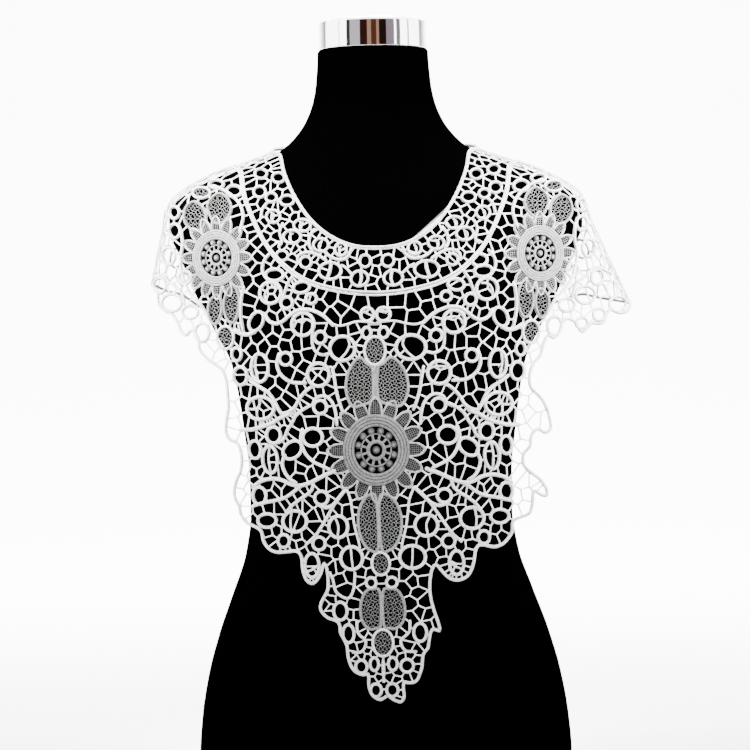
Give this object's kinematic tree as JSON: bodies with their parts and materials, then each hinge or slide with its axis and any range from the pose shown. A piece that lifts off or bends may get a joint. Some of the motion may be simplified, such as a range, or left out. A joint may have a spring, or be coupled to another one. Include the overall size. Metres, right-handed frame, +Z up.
{
  "type": "lace collar on a dress form",
  "caption": "White guipure lace collar with neck band, shoulder wings and long pointed front, on a black limbless dress form with a chrome neck cap.",
  "frame": {"origin": "centre of the dress form's flat base", "axes": "+Z up through the neck cap, -Y to the front of the collar, +X to the wearer's left"},
  "size_m": [0.4415, 0.2442, 0.723],
  "materials": {
    "form_black": "matt black jersey cover",
    "cap_chrome": "polished",
    "lace_white": "white satin-stitched cotton guipure"
  },
  "bodies": {
    "root": {"form_torso": "form_black", "form_neck_cap": "cap_chrome", "neck_band_front": "lace_white", "neck_band_back": "lace_white", "front_panel": "lace_white", "back_panel": "lace_white", "medallion_centre": "lace_white", "medallion_left": "lace_white", "medallion_right": "lace_white"}
  },
  "joints": []
}
